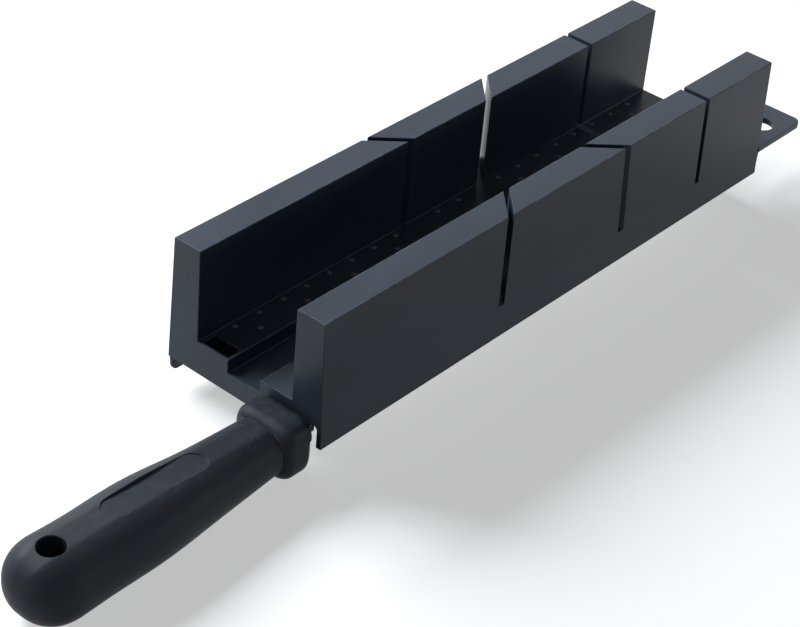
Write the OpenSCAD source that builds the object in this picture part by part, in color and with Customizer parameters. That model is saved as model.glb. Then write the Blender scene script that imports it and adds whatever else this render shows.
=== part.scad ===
// Plastic mitre box with its straight-handled saw slid into the bay under the box.
// Millimetres, Z up. The origin is the centre of the box's base. The saw's handle
// is at the near end, towards -Y, and the hanging lug at the far end, towards +Y.

/* [Mitre box] */
// Length of the box
box_length = 300; // [260:1:400]
// Width over the walls at their top
box_width = 79.5; // [76:0.5:110]
// Height of the walls above the base
box_height = 58.3; // [50:0.1:80]
// Thickness of each wall
wall_t = 14.1; // [12:0.1:16]
// How far each wall's outer face leans out from its top to the base
wall_flare = 2.1; // [0.5:0.1:2.5]
// Height of the two ledges that the work lies on
ledge_z = 15.6; // [15:0.1:20]
// Width of the groove between the ledges
groove_w = 17.4; // [14:0.1:20]
// Height of the groove's floor
groove_z = 9.3; // [8.6:0.1:10.5]
// Thickness of the moulded skins
skin = 3; // [2.4:0.1:3.2]
// Thickness of the cross ribs under the box
rib_t = 2.4; // [1.6:0.1:3.4]
// Radius along the box's long edges
edge_r = 0.4; // [0.3:0.1:1]

/* [Saw cuts] */
// Angle of the crossed mitre cuts from a square cut
mitre_angle = 45; // [40:1:50]
// Distance from the far end to the square cut
square_cut_from_end = 51.1; // [35:0.1:60]
// Clearance of the saw's spine in a cut, over both sides
cut_clearance = 0.25; // [0.15:0.05:0.8]

/* [Grip pips] */
// Diameter of a pip on the ledges
pip_d = 2.6; // [1.5:0.1:3.5]
// Height of a pip
pip_h = 0.35; // [0.2:0.05:0.8]
// Distance from pip to pip in a ledge's outer row
pip_pitch = 13.91; // [8:0.01:30]
// Distance from the near end to the first pip
pip_start = 18.3; // [15:0.1:30]
// Distance from the wall to the outer row
pip_wall_gap = 2.8; // [2.2:0.05:3]
// Distance from the outer row to the inner row
pip_row_gap = 7.5; // [5:0.1:8.5]

/* [Ledge pocket] */
// Length of the pocket in the left ledge, along the box
pocket_l = 7.3; // [4:0.1:12]
// Depth of the pocket
pocket_depth = 6; // [2:0.5:7]
// Rim between the pocket and the near end or the groove
pocket_rim = 1.4; // [1:0.1:2]

/* [Bench hook] */
// Thickness of the lip that hooks over the bench's edge
lip_t = 1.6; // [1.4:0.1:5]
// How far the lip hangs below the base
lip_drop = 7.6; // [4:0.1:15]
// Distance from the near end to the lip's end
lip_end_gap = 1; // [0.5:0.5:10]
// Radius of the lip's lower corners
lip_corner_r = 3.2; // [1:0.1:3.6]

/* [Hanging lug] */
// Width of the lug
lug_w = 23.4; // [20:0.1:30]
// Length of the lug past the far end
lug_l = 37; // [30:0.5:50]
// Thickness of the lug
lug_t = 3.1; // [2.5:0.1:4.8]
// Height of the lug's underside
lug_z = 10.6; // [10:0.1:12]
// Radius of the lug's corners
lug_corner_r = 4; // [1:0.5:8]
// Diameter of the hole in the lug
lug_hole_d = 12; // [6:0.5:14]
// Distance from the lug's tip to the hole's centre
lug_hole_from_tip = 17.5; // [12:0.5:20]

/* [Saw bay] */
// Height of the bay and of the arched slot in the near end
bay_z = 9.8; // [9:0.1:10]
// Width of the arched slot
slot_w = 3.7; // [2:0.1:4]
// Thickness of the wall's skirt beside the bay
skirt_t = 2.3; // [2:0.1:3]
// Radius in the bay's upper corner
bay_corner_r = 2; // [0.5:0.1:3]
// Gap between the saw and each guide
guide_gap = 0.3; // [0.25:0.05:0.4]
// Length of each guide hook, along the box
guide_l = 10; // [5:1:16]
// Thickness of a guide hook's upright
guide_t = 2.7; // [2:0.1:3]

/* [Saw blade] */
// Thickness of the blade's steel
blade_t = 0.8; // [0.6:0.05:0.9]
// Length of the blade past the handle
blade_l = 292; // [200:1:292]
// Depth of the saw from the teeth to the spine's outer edge
saw_depth = 24.5; // [24:0.5:28]
// Height of the blade's middle above the base
saw_z = 3.2; // [3.1:0.05:3.4]
// Distance from tooth to tooth
tooth_pitch = 2; // [1.6:0.1:4]
// Height of a tooth
tooth_h = 1.3; // [0.8:0.1:2]
// Width of the folded steel spine
spine_w = 8; // [6:0.5:9]
// Width of the tang
tang_w = 9.5; // [7:0.5:12]
// Length of the tang inside the handle
tang_l = 62; // [40:1:75]

/* [Saw handle] */
// Width of the collar over its upper half
collar_w = 30.5; // [26:0.1:34]
// Height of the collar
collar_h = 25.5; // [21:0.1:27]
// Length of the collar along the saw
collar_l = 16.5; // [13:0.1:20]
// Rounding of the collar towards the grip
collar_round = 5.5; // [3:0.1:6]
// Step between the collar's wider upper half and its lower half, on each side
collar_step = 0.7; // [0.4:0.1:1.5]
// Length of the grip
grip_l = 122.6; // [100:0.1:140]
// Greatest width of the grip
grip_w = 34; // [30:0.1:38]
// Greatest height of the grip
grip_h = 31; // [26:0.1:34]
// Diameter of the hanging hole
hang_hole_d = 11; // [7:0.5:12]
// Distance from the butt to the hanging hole's centre
hang_hole_from_butt = 17.3; // [16:0.1:24]
// Width of the recessed panel on top of the grip
panel_w = 11.7; // [8:0.1:12]
// Length of the recessed panel
panel_l = 49.8; // [30:0.1:60]
// Depth of the panel at its two ends
panel_depth = 0.35; // [0.3:0.05:1]

/* [Hidden] */
$fn = 64;

// Overrun of a cut past the face that it opens
over = 2;

// Box section
near_y = -box_length / 2;
far_y = box_length / 2;
top_half = box_width / 2;
base_half = top_half + wall_flare;
inner_half = top_half - wall_t;
groove_half = groove_w / 2;
ledge_roof = ledge_z - skin;
groove_roof = groove_z - skin;
edge_steps = 3;
function outer_x(z) = base_half - wall_flare * z / box_height;

// Cuts
cut_w = 3 * blade_t + cut_clearance;
square_cut_y = far_y - square_cut_from_end;
cuts = [[0, mitre_angle], [0, -mitre_angle], [square_cut_y, 0]];
housing_w = cut_w + 2 * skin;
mitre_reach = base_half * tan(mitre_angle) + housing_w;
function cut_distance(p, cut) = abs((p.y - cut[0]) * cos(cut[1]) - p.x * sin(cut[1]));

// Cross ribs stand in the clear stretches between the cuts
near_field = near_y + mitre_reach;
far_field = square_cut_y - mitre_reach;
near_rib_shares = [1 / 3, 2 / 3];
rib_ys = concat([for (share = near_rib_shares) near_y - near_field * share], [0, square_cut_y - far_field / 2],
    [(square_cut_y + far_y) / 2]);
guide_ys = [rib_ys[0], rib_ys[2], rib_ys[4]];

// Saw: its tooth line lies a gap from the web that shuts off the bay
web_half = skin / 2;
tooth_gap = 4.1;
tooth_x = web_half + tooth_gap;
spine_t = 3 * blade_t;
spine_x1 = tooth_x + saw_depth;
spine_x0 = spine_x1 - spine_w;
spine_in_handle = 8;
spine_short = 2;
blade_edge_x = spine_x1 - blade_t;
blade_z = saw_z - blade_t / 2;
spine_z = saw_z - spine_t / 2;
heel_gap = 1.5;
heel_y = near_y + heel_gap;
blade_tip_y = near_y - guide_gap + blade_l;
tip_r = 3;
tooth_start = 8;
tooth_end = 6;
tooth_lean_share = 0.7;
tang_hole_d = 5;
tang_hole_from_end = 12;
moulded_fit = 0.05;

// Saw bay
bay_x0 = web_half;
bay_x1 = outer_x(bay_z) - skirt_t;
blade_rib_z = blade_z + blade_t + guide_gap;
spine_rib_z = spine_z + spine_t + guide_gap;
mouth_x0 = tooth_x - guide_gap;
arch_steps = 8;
guide_reach_share = 0.65;
guide_x0 = spine_x0 + spine_w * guide_reach_share;
guide_x1 = spine_x1 + guide_gap + guide_t;
toe_x = tooth_x + tooth_h + guide_gap;

// Handle: the grip's axis lies a little inside the spine's outer edge
handle_inset = 5.2;
handle_x = spine_x1 - handle_inset;
handle_sag = 2.1;
handle_z = saw_z - handle_sag;
face_gap = guide_gap;
collar_y = near_y - face_gap;
collar_far_round = 5;
collar_squareness = 4.2;
collar_split_rise = 2.1;
collar_far_rings = 3;
collar_near_rings = 5;
grip_lap = 0.7;
grip_y = collar_y - collar_l + grip_lap;
neck_l = 1.4;
neck_w_share = 0.63;
neck_h_share = 0.58;
grip_w_shares = [0.748, 0.842, 0.985, 0.999, 1.056];
grip_h_shares = [0.723, 0.865, 0.998, 0.983, 1.047];
grip_sag_shares = [-0.004, 0.019, 0.014, 0.028, 0.026];
grip_squareness = 2.3;
crown_share = 0.97;
grip_edge = 0.4;
grip_edge_share = 0.95;
butt_l = 19.5;
butt_squareness = 2.2;
butt_last_angle = 84;
butt_y = grip_y - grip_l;
hole_y = butt_y + hang_hole_from_butt;
hole_round = 0.8;
panel_start = 30.5;
ring_points = 32;
body_rings = 13;
butt_rings = 7;

// Outline helpers
function unit(v) = v / norm(v);
function corner_arc(p, c, n, r) =
    let (
        u = unit(p - c), v = unit(n - c),
        half = acos(max(-1, min(1, u * v))) / 2,
        m = c + unit(u + v) * r / sin(half),
        s = c + u * r / tan(half) - m,
        e = c + v * r / tan(half) - m,
        a0 = atan2(s.y, s.x),
        turn = (atan2(e.y, e.x) - a0 + 540) % 360 - 180
    )
    [for (i = [0:edge_steps]) m + r * [cos(a0 + turn * i / edge_steps), sin(a0 + turn * i / edge_steps)]];
function softened(pts, r) =
    [for (i = [0:len(pts) - 1])
        each corner_arc(pts[(i + len(pts) - 1) % len(pts)], pts[i], pts[(i + 1) % len(pts)], r)];

// A profile drawn in x and z, pushed along the box from y0 to y1
module along_box(y0, y1) {
    translate([0, y1, 0])
        rotate([90, 0, 0])
            linear_extrude(y1 - y0)
                children();
}

// Upright slab along a cut's line, from height z0 to past the walls' tops
module cut_slab(cut, width, z0) {
    reach = 2 * base_half;
    translate([0, cut[0], z0])
        rotate([0, 0, cut[1]])
            translate([-reach, -width / 2, 0])
                cube([2 * reach, width, box_height]);
}

// Mitre box
module box_section() {
    polygon(softened([
        [-base_half, 0], [-top_half, box_height], [-inner_half, box_height], [-inner_half, ledge_z],
        [-groove_half, ledge_z], [-groove_half, groove_z], [groove_half, groove_z], [groove_half, ledge_z],
        [inner_half, ledge_z], [inner_half, box_height], [top_half, box_height], [base_half, 0]], edge_r));
}

module bench_lip() {
    lip_x = -outer_x(0) + wall_flare * lip_t / box_height;
    lip_l = box_length - 2 * lip_end_gap;
    translate([lip_x, near_y + lip_end_gap, 0])
        rotate([90, 0, 90])
            linear_extrude(lip_t)
                difference() {
                    translate([0, -lip_drop])
                        square([lip_l, lip_drop + skin]);
                    for (end = [0, 1])
                        translate([end * lip_l, 0])
                            mirror([end, 0])
                                translate([0, -lip_drop])
                                    difference() {
                                        translate([-over, -over])
                                            square(lip_corner_r + over);
                                        translate([lip_corner_r, lip_corner_r])
                                            circle(lip_corner_r);
                                    }
                }
}

module lug() {
    x1 = outer_x(lug_z + lug_t);
    translate([x1 - lug_w, far_y - skin, lug_z])
        linear_extrude(lug_t)
            union() {
                square([lug_w, skin + lug_l - lug_corner_r]);
                translate([lug_corner_r, 0])
                    square([lug_w - 2 * lug_corner_r, skin + lug_l]);
                for (x = [lug_corner_r, lug_w - lug_corner_r])
                    translate([x, skin + lug_l - lug_corner_r])
                        circle(lug_corner_r);
            }
}

module lug_hole() {
    translate([outer_x(lug_z + lug_t) - lug_w / 2, far_y + lug_l - lug_hole_from_tip, lug_z - over])
        cylinder(d = lug_hole_d, h = lug_t + 2 * over);
}

// A low dome, cut from a ball, on a foot that is sunk in the ledge
module pip() {
    ball_r = (pip_d * pip_d / 4 + pip_h * pip_h) / (2 * pip_h);
    foot = skin / 4;
    intersection() {
        translate([0, 0, pip_h - ball_r])
            sphere(ball_r);
        translate([0, 0, -foot])
            cylinder(d = pip_d, h = foot + pip_h);
    }
}

// Pips stand where no cut crosses the ledge
module pip_row(x, start, pitch) {
    clear = cut_w / 2 + pip_d / 2;
    last = floor((box_length - start - pip_start + pip_d) / pitch);
    for (i = [0:last], side = [-1, 1]) {
        p = [side * x, near_y + start + i * pitch];
        if (min([for (cut = cuts) cut_distance(p, cut)]) > clear)
            translate([p.x, p.y, ledge_z])
                pip();
    }
}

module pips() {
    outer_row_x = inner_half - pip_wall_gap;
    pip_row(outer_row_x, pip_start, pip_pitch);
    pip_row(outer_row_x - pip_row_gap, pip_start + pip_pitch / 2, 2 * pip_pitch);
}

module ledge_pocket() {
    x0 = -inner_half + skin * 2 / 3;
    translate([x0, near_y + pocket_rim, ledge_z - pocket_depth])
        cube([-groove_half - pocket_rim - x0, pocket_l, pocket_depth + over]);
}

// Open space inside one wall, between its skins
module wall_core_section(z0) {
    top = box_height - skin;
    polygon([[inner_half + skin, z0], [inner_half + skin, top], [outer_x(top) - skin, top], [outer_x(z0) - skin, z0]]);
}

// Cores under the left half: wall, ledge and groove, with ribs between them
module left_cores() {
    along_box(near_y + skin, far_y - skin) {
        mirror([1, 0])
            wall_core_section(-over);
        translate([-inner_half, -over])
            square([inner_half - groove_half - skin, ledge_roof + over]);
        translate([-groove_half, -over])
            square([groove_half - web_half, groove_roof + over]);
    }
}

// Cores over the saw bay
module right_cores() {
    along_box(near_y + skin, far_y - skin) {
        wall_core_section(bay_z - over);
        translate([groove_half + skin, bay_z - over])
            square([inner_half - groove_half - skin, ledge_roof - bay_z + over]);
    }
}

module bay_section() {
    polygon(concat(
        [[bay_x0, -over], [bay_x0, groove_roof], [groove_half + skin, groove_roof], [groove_half + skin, bay_z]],
        [for (i = [0:edge_steps])
            let (a = 90 - 90 * i / edge_steps)
            [bay_x1 - bay_corner_r + bay_corner_r * cos(a), bay_z - bay_corner_r + bay_corner_r * sin(a)]],
        [[bay_x1, -over]]));
}

// Opening in the near end: low over the blade, higher over the spine, and an arched slot beside it
module mouth_section() {
    r = slot_w / 2;
    polygon(concat(
        [[mouth_x0, -over], [mouth_x0, blade_rib_z], [spine_x0 - guide_gap, blade_rib_z],
            [spine_x0 - guide_gap, spine_rib_z], [bay_x1 - slot_w, spine_rib_z]],
        [for (i = [0:arch_steps])
            let (a = 180 - 180 * i / arch_steps)
            [bay_x1 - r + r * cos(a), bay_z - r + r * sin(a)]],
        [[bay_x1, -over]]));
}

module pocket_housing() {
    translate([-inner_half - over, near_y, ledge_z - pocket_depth - skin])
        cube([inner_half - groove_half + over, pocket_rim + pocket_l + skin, pocket_depth + skin]);
}

module rib_slabs(z0) {
    for (y = rib_ys)
        translate([-base_half, y - rib_t / 2, z0])
            cube([2 * base_half, rib_t, box_height]);
}

module cut_housings() {
    for (cut = cuts)
        cut_slab(cut, housing_w, ledge_roof);
}

// Cross ribs reach down over the saw and hold it from above
module bay_ribs() {
    for (y = rib_ys)
        along_box(y - rib_t / 2, y + rib_t / 2)
            polygon([
                [0, groove_z - skin / 2], [0, blade_rib_z], [spine_x0 - guide_gap, blade_rib_z],
                [spine_x0 - guide_gap, spine_rib_z], [guide_x1, spine_rib_z], [guide_x1, bay_z + skin],
                [groove_half + skin / 2, bay_z + skin], [groove_half + skin / 2, groove_z - skin / 2]]);
}

// A hook round the spine and a toe under the teeth carry the saw
module guides() {
    for (y = guide_ys)
        along_box(y - guide_l / 2, y + guide_l / 2) {
            polygon([
                [guide_x0, 0], [guide_x1, 0], [guide_x1, bay_z + skin / 2], [guide_x0, bay_z + skin / 2],
                [guide_x0, spine_rib_z], [spine_x1 + guide_gap, spine_rib_z],
                [spine_x1 + guide_gap, spine_z - guide_gap], [guide_x0, spine_z - guide_gap]]);
            square([toe_x + tooth_h, blade_z - guide_gap]);
        }
}

module mitre_box() {
    color([0.20, 0.21, 0.25]) {
        difference() {
            union() {
                along_box(near_y, far_y)
                    box_section();
                bench_lip();
                lug();
                pips();
            }
            for (cut = cuts)
                cut_slab(cut, cut_w, ledge_z);
            difference() {
                left_cores();
                rib_slabs(-over);
                cut_housings();
                pocket_housing();
            }
            difference() {
                right_cores();
                rib_slabs(-over);
                cut_housings();
            }
            along_box(near_y + skin, far_y - skin)
                bay_section();
            along_box(near_y - over, near_y + skin + over)
                mouth_section();
            ledge_pocket();
            lug_hole();
        }
        bay_ribs();
        guides();
    }
}

// Saw blade
function tooth_points(y0, y1) =
    let (n = floor((y1 - y0) / tooth_pitch))
    [for (i = [0:n - 1], part = [0, 1])
        part == 0
            ? [tooth_x + tooth_h, y0 + i * tooth_pitch]
            : [tooth_x, y0 + (i + tooth_lean_share) * tooth_pitch]];

module saw_blade() {
    tang_y = near_y - face_gap - tang_l;
    tang_x = blade_edge_x - tang_w;
    teeth = tooth_points(heel_y + tooth_start, blade_tip_y - tooth_end);
    color([0.72, 0.73, 0.75])
        translate([0, 0, blade_z])
            linear_extrude(blade_t)
                difference() {
                    polygon(concat(
                        [[tang_x, tang_y], [blade_edge_x, tang_y], [blade_edge_x, blade_tip_y]],
                        [[tooth_x + tooth_h + tip_r, blade_tip_y]],
                        [[tooth_x + tooth_h, blade_tip_y - tip_r]],
                        [for (i = [len(teeth) - 1:-1:0]) teeth[i]],
                        [[tooth_x + tooth_h, heel_y], [tang_x, heel_y]]));
                    translate([blade_edge_x - tang_w / 2, tang_y + tang_hole_from_end])
                        circle(d = tang_hole_d);
                }
}

// Steel strip folded over the blade's upper edge
module saw_spine() {
    r = spine_t / 2;
    color([0.62, 0.63, 0.65])
        translate([0, 0, saw_z])
            along_box(near_y - face_gap - spine_in_handle, blade_tip_y - spine_short)
                difference() {
                    union() {
                        translate([spine_x0, -r])
                            square([spine_w - r, spine_t]);
                        translate([spine_x1 - r, 0])
                            circle(r);
                    }
                    translate([spine_x0 - over, -blade_t / 2])
                        square([blade_edge_x - spine_x0 + over, blade_t]);
                }
}

// Saw handle
function superellipse(a, b, n) =
    [for (i = [0:ring_points - 1])
        let (t = 360 * i / ring_points, c = cos(t), s = sin(t))
        [a * sign(c) * pow(abs(c), 2 / n), b * sign(s) * pow(abs(s), 2 / n)]];
function ring_at(y, a, b, z, n) =
    [for (p = superellipse(a, b, n)) [handle_x + p.x, y, z + p.y]];

// Rings of the same number of points, joined into one closed skin
module loft(rings) {
    n = len(rings[0]);
    last = len(rings) - 1;
    polyhedron(
        points = [for (ring = rings) each ring],
        faces = concat(
            [[for (i = [0:n - 1]) i]],
            [for (k = [0:last - 1], i = [0:n - 1], half = [0, 1])
                let (j = (i + 1) % n, a = k * n, b = (k + 1) * n)
                half == 0 ? [a + i, b + i, b + j] : [a + i, b + j, a + j]],
            [[for (i = [n - 1:-1:0]) last * n + i]]));
}

// Smooth curve through evenly spaced values, at a share of its length
function spline(values, share) =
    let (
        last = len(values) - 1,
        i = max(0, min(last - 1, floor(share * last))),
        u = share * last - i,
        p1 = values[i],
        p2 = values[i + 1],
        p0 = i > 0 ? values[i - 1] : 2 * p1 - p2,
        p3 = i + 2 <= last ? values[i + 2] : 2 * p2 - p1
    )
    p1 + u * (p2 - p0 + u * (2 * p0 - 5 * p1 + 4 * p2 - p3 + u * (3 * p1 - p0 - 3 * p2 + p3))) / 2;
function grip_half_w(share) = grip_w / 2 * spline(grip_w_shares, share);
function grip_half_h(share) = grip_h / 2 * spline(grip_h_shares, share);
function grip_mid_z(share) = handle_z - grip_h * spline(grip_sag_shares, share);
function grip_share(y) = (grip_y - y) / grip_l;
function grip_top_z(y) = grip_mid_z(grip_share(y)) + crown_share * grip_half_h(grip_share(y));
function grip_low_z(y) = grip_mid_z(grip_share(y)) - grip_half_h(grip_share(y));

// Ring of the grip, flat over its crown
function grip_ring(share, k) =
    let (crown_z = grip_mid_z(share) + crown_share * k * grip_half_h(share))
    [for (p = ring_at(grip_y - grip_l * share, k * grip_half_w(share), k * grip_half_h(share), grip_mid_z(share),
        grip_squareness)) [p.x, p.y, min(p.z, crown_z)]];

// Grip, from the neck inside the collar to the rounded butt
module grip() {
    neck_a = neck_w_share * grip_w / 2;
    neck_b = neck_h_share * grip_h / 2;
    butt_share = 1 - butt_l / grip_l;
    edge_share = grip_edge / grip_l;
    loft(concat(
        [for (y = [collar_y - collar_l / 2, grip_y + neck_l])
            ring_at(y, neck_a, neck_b, grip_mid_z(0), grip_squareness)],
        [grip_ring(0, grip_edge_share)],
        [for (i = [0:body_rings]) grip_ring(edge_share + (butt_share - edge_share) * i / body_rings, 1)],
        [for (i = [1:butt_rings])
            let (a = butt_last_angle * i / butt_rings)
            grip_ring(butt_share + (1 - butt_share) * pow(sin(a), 2 / butt_squareness),
                pow(cos(a), 2 / butt_squareness))]));
}

// Rounded block of the collar; its rings shrink towards both ends
module collar_block(w) {
    function inset(r, a) = r * (1 - sin(a));
    function block_ring(y, d) = ring_at(y, w / 2 - d, collar_h / 2 - d, handle_z, collar_squareness);
    loft(concat(
        [for (i = [0:collar_far_rings])
            let (a = 90 * i / collar_far_rings)
            block_ring(collar_y - collar_far_round * (1 - cos(a)), inset(collar_far_round, a))],
        [for (i = [collar_near_rings:-1:0])
            let (a = 90 * i / collar_near_rings)
            block_ring(collar_y - collar_l + collar_round * (1 - cos(a)), inset(collar_round, a))]));
}

// The collar's upper half stands out a little over its lower half
module collar() {
    split_z = saw_z + collar_split_rise;
    intersection() {
        collar_block(collar_w);
        translate([handle_x - collar_w, collar_y - collar_l - over, split_z])
            cube([2 * collar_w, collar_l + 2 * over, collar_h]);
    }
    collar_block(collar_w - 2 * collar_step);
}

// Flat-bottomed panel with round ends, sunk into the grip's crown
module panel_cut() {
    y0 = grip_y - panel_start;
    y1 = y0 - panel_l;
    z0 = grip_top_z(y0) - panel_depth;
    z1 = grip_top_z(y1) - panel_depth;
    r = panel_w / 2;
    translate([handle_x, y0, z0])
        rotate([atan2(z0 - z1, panel_l), 0, 0])
            linear_extrude(grip_h)
                union() {
                    translate([-r, r - panel_l])
                        square([panel_w, panel_l - panel_w]);
                    for (y = [-r, r - panel_l])
                        translate([0, y])
                            circle(r);
                }
}

module hang_hole() {
    translate([handle_x, hole_y, -grip_h])
        cylinder(d = hang_hole_d, h = 2 * grip_h);
    translate([handle_x, hole_y, grip_top_z(hole_y)])
        hole_rim();
    translate([handle_x, hole_y, grip_low_z(hole_y)])
        mirror([0, 0, 1])
            hole_rim();
}

// Rounded rim of the hanging hole
module hole_rim() {
    r = hang_hole_d / 2;
    rotate_extrude()
        polygon(concat(
            [[0, -hole_round]],
            [for (i = [0:edge_steps])
                let (a = 180 - 90 * i / edge_steps)
                [r + hole_round + hole_round * cos(a), -hole_round + hole_round * sin(a)]],
            [[r + hole_round, over], [0, over]]));
}

// Room in the moulding for the tang and for the spine's end
module saw_seat() {
    f = moulded_fit;
    tang_y = near_y - face_gap - tang_l;
    translate([blade_edge_x - tang_w - f, tang_y - f, blade_z - f])
        difference() {
            cube([tang_w + 2 * f, tang_l + over, blade_t + 2 * f]);
            translate([tang_w / 2 + f, tang_hole_from_end + f, -over])
                cylinder(d = tang_hole_d - 2 * f, h = blade_t + 2 * over);
        }
    translate([spine_x0 - f, near_y - face_gap - spine_in_handle - f, spine_z - f])
        cube([spine_w + 2 * f, spine_in_handle + over, spine_t + 2 * f]);
}

module saw_handle() {
    color([0.13, 0.14, 0.16])
        difference() {
            union() {
                collar();
                grip();
            }
            panel_cut();
            hang_hole();
            saw_seat();
        }
}

mitre_box();
saw_handle();
saw_blade();
saw_spine();
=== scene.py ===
"""Looks of a plastic mitre box with its saw, laid out as an add-on and run as a script."""
from contextlib import contextmanager
import math

import bmesh
import bpy
import numpy as np
from mathutils import Matrix, Vector


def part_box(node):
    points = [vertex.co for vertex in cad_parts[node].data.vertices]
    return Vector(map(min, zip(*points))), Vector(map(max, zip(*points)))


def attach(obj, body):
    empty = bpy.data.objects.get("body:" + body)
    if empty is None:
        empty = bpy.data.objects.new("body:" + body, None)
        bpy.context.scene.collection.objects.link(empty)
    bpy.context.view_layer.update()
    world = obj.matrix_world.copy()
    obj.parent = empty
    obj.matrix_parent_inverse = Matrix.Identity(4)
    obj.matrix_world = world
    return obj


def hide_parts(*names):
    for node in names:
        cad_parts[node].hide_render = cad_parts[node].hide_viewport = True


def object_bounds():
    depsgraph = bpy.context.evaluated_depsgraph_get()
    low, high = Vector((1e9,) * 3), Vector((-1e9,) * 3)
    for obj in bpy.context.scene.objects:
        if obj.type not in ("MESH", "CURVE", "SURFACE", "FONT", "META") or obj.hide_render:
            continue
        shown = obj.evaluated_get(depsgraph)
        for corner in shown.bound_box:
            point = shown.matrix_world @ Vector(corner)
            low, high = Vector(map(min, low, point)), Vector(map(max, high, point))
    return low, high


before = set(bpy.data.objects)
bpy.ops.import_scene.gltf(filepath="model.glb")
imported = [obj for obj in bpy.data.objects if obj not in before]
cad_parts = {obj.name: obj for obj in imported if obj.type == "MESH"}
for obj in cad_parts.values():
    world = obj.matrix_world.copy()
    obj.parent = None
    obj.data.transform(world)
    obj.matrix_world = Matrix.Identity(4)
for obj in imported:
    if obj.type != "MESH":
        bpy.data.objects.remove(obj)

bl_info = {
    "name": "Mitre box with saw",
    "version": (1, 0, 0),
    "blender": (4, 5, 0),
    "location": "3D view > Sidebar > Mitre box",
    "description": "Dresses the mitre box and its saw, and sets up the stage",
    "category": "Add Mesh",
}

MM = 0.001
WHITE = (1, 1, 1)
cad_low, cad_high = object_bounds()
box_low, box_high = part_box("mitre_box")
handle_low, handle_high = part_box("saw_handle")
blade_low, blade_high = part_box("saw_blade")
spine_low, spine_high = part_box("saw_spine")

# Sizes of the box that the pieces follow, in metres
BOX_LENGTH = 300 * MM
WALL_TOP_X = 39.75 * MM
WALL_INNER_X = 25.65 * MM
GROOVE_X = 8.7 * MM
WALL_FLARE = 2.1 * MM
LEDGE_Z = 15.6 * MM
WALL_TOP_Z = box_high.z
CUT_WIDTH = 2.65 * MM
MITRE_ANGLE = math.radians(45)
SQUARE_CUT_Y = 98.9 * MM


# Sizes and colours that a user would change
def colour(name, description, default):
    return bpy.props.FloatVectorProperty(
        name=name, description=description, subtype="COLOR", size=3, min=0, max=1, default=default)


def length(name, description, default):
    return bpy.props.FloatProperty(
        name=name, description=description, default=default, min=0, unit="LENGTH", precision=5)


def share(name, description, default):
    return bpy.props.FloatProperty(
        name=name, description=description, default=default, min=0, max=1, subtype="FACTOR")


def power(name, description, default):
    return bpy.props.FloatProperty(
        name=name, description=description, default=default, min=0, unit="POWER")


class BoxLook(bpy.types.PropertyGroup):
    """Plastic, marks and edges of the box"""
    plastic: colour("Plastic", "Colour of the box's moulding", (0.045, 0.057, 0.081))
    # The colour of scuffs and worn edges, which also serves as the painted highlight along the edges
    rubbed_and_highlight: colour("Rubbed plastic", "Colour of its scuffs and worn edges", (0.13, 0.145, 0.175))
    roughness: share("Roughness", "Roughness of the moulded faces", 0.34)
    streaks: share("Streaks", "Strength of the fine streaks along the box", 0.10)
    scratches: share("Scratches", "Strength of the hairline scratches", 0.30)
    dust: share("Dust", "Strength of the specks of dust", 0.55)
    # Strength of the lighter colour along the edges, partly worn plastic and partly a painted highlight
    wear_and_highlight: share("Edge wear", "Strength of the wear along its edges", 0.60)
    edge: length("Edge break", "Width of the bevel on its sharp edges", 0.3 * MM)


class PipLook(bpy.types.PropertyGroup):
    """Sizes of the pips and of their rows"""
    diameter: length("Diameter", "Diameter of a pip on the ledges", 2.6 * MM)
    height: length("Height", "Height of a pip over its ledge", 0.35 * MM)
    pitch: length("Pitch", "Distance from pip to pip in the outer row", 13.91 * MM)
    start: length("Start", "Distance from the near end to the first pip", 18.3 * MM)
    wall_gap: length("Wall gap", "Distance from the wall to the outer row", 2.8 * MM)
    row_gap: length("Row gap", "Distance from the outer row to the inner row", 7.5 * MM)


class HandleLook(bpy.types.PropertyGroup):
    """Plastic, marks and edges of the saw's handle"""
    plastic: colour("Plastic", "Colour of the saw's handle", (0.012, 0.015, 0.023))
    # The colour of scuffs, which also serves as the painted highlight round the grip's end
    rubbed_and_highlight: colour("Rubbed plastic", "Colour of its scuffs", (0.10, 0.11, 0.13))
    roughness: share("Roughness", "Roughness of the grip", 0.50)
    handling: share("Handling", "Strength of the streaks that handling left", 0.10)
    patches: share("Patches", "Strength of the worn patches", 0.12)
    scratches: share("Scratches", "Strength of the hairline scratches", 0.35)
    dust: share("Dust", "Strength of the specks of dust", 0.60)
    # Strength of the painted highlight round the grip's end
    wear_and_highlight: share("Edge wear", "Strength of the wear round the grip's end", 0.45)
    edge: length("Edge break", "Width of the bevel on its sharp edges", 0.12 * MM)


class BladeLook(bpy.types.PropertyGroup):
    """Steel of the blade and spine, and sizes of the teeth"""
    steel: colour("Steel", "Colour of the blade and spine", (0.56, 0.57, 0.58))
    blade_roughness: share("Blade roughness", "Roughness of the blade at its smoothest", 0.24)
    spine_roughness: share("Spine roughness", "Roughness of the spine at its smoothest", 0.32)
    pitch: length("Tooth pitch", "Distance from tooth to tooth", 2.0 * MM)
    tooth: length("Tooth height", "Height of a tooth", 1.3 * MM)
    tooth_set: bpy.props.FloatProperty(
        name="Tooth set", description="Angle that each tooth is bent to its side",
        default=math.radians(9), unit="ROTATION")


class StageLook(bpy.types.PropertyGroup):
    """Floor and lights"""
    floor: colour("Floor", "Colour of the floor", (0.72, 0.72, 0.72))
    floor_glow: share("Floor glow", "White that the floor shows on its own, under its shadows", 0.5)
    floor_bounce: share("Floor bounce", "Share of light that the floor throws back on the object", 0.2)
    ambient: share("Ambient", "Strength of the light from all round", 0.02)
    key: power("Key", "Power of the lamp at the left", 30)
    front: power("Front", "Power of the lamp in front", 1.7)
    side: power("Side", "Power of the lamp at the right", 1.6)


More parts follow.
